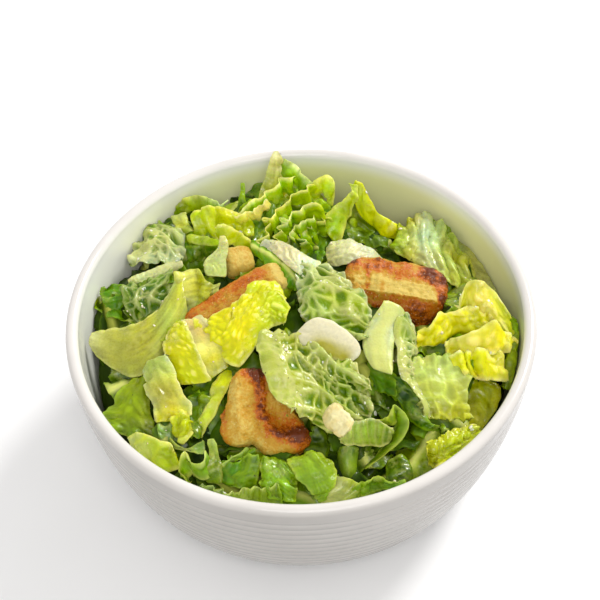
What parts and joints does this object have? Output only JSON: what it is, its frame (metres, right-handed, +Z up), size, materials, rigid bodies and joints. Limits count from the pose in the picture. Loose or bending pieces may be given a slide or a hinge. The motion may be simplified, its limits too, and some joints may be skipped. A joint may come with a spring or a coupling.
{
  "type": "caesar salad",
  "caption": "Caesar salad of chopped romaine, toasted bread croutons and shaved cheese, heaped in a round white bowl with fine ribs outside.",
  "frame": {"origin": "centre of the bowl's foot, on the surface the bowl stands on", "axes": "+Z up along the bowl's axis; -Y towards the side of the salad that shows the two largest croutons' cut faces, +X to the right of it"},
  "size_m": [0.17, 0.17, 0.0803],
  "materials": {
    "glaze": "white gloss glaze",
    "lettuce": "crisp wet romaine, from pale rib to deep green margin, with a thin creamy dressing",
    "toast_front": "toasted bread, golden crumb with a dark glossy crust",
    "toast_right": "toasted bread, red-brown oiled crust and tan crumb",
    "toast_left": "toasted bread, orange-brown crust",
    "toast_back": "toasted bread, smooth golden crumb",
    "cheese_shaving": "smooth waxy shaved hard cheese",
    "cheese_lump": "crumbly hard cheese"
  },
  "bodies": {
    "root": {"bowl": "glaze", "lettuce_heap": "lettuce", "crouton_front": "toast_front", "crouton_right": "toast_right", "crouton_left": "toast_left", "crouton_back": "toast_back", "cheese_shaving": "cheese_shaving", "cheese_lump": "cheese_lump"}
  },
  "joints": []
}
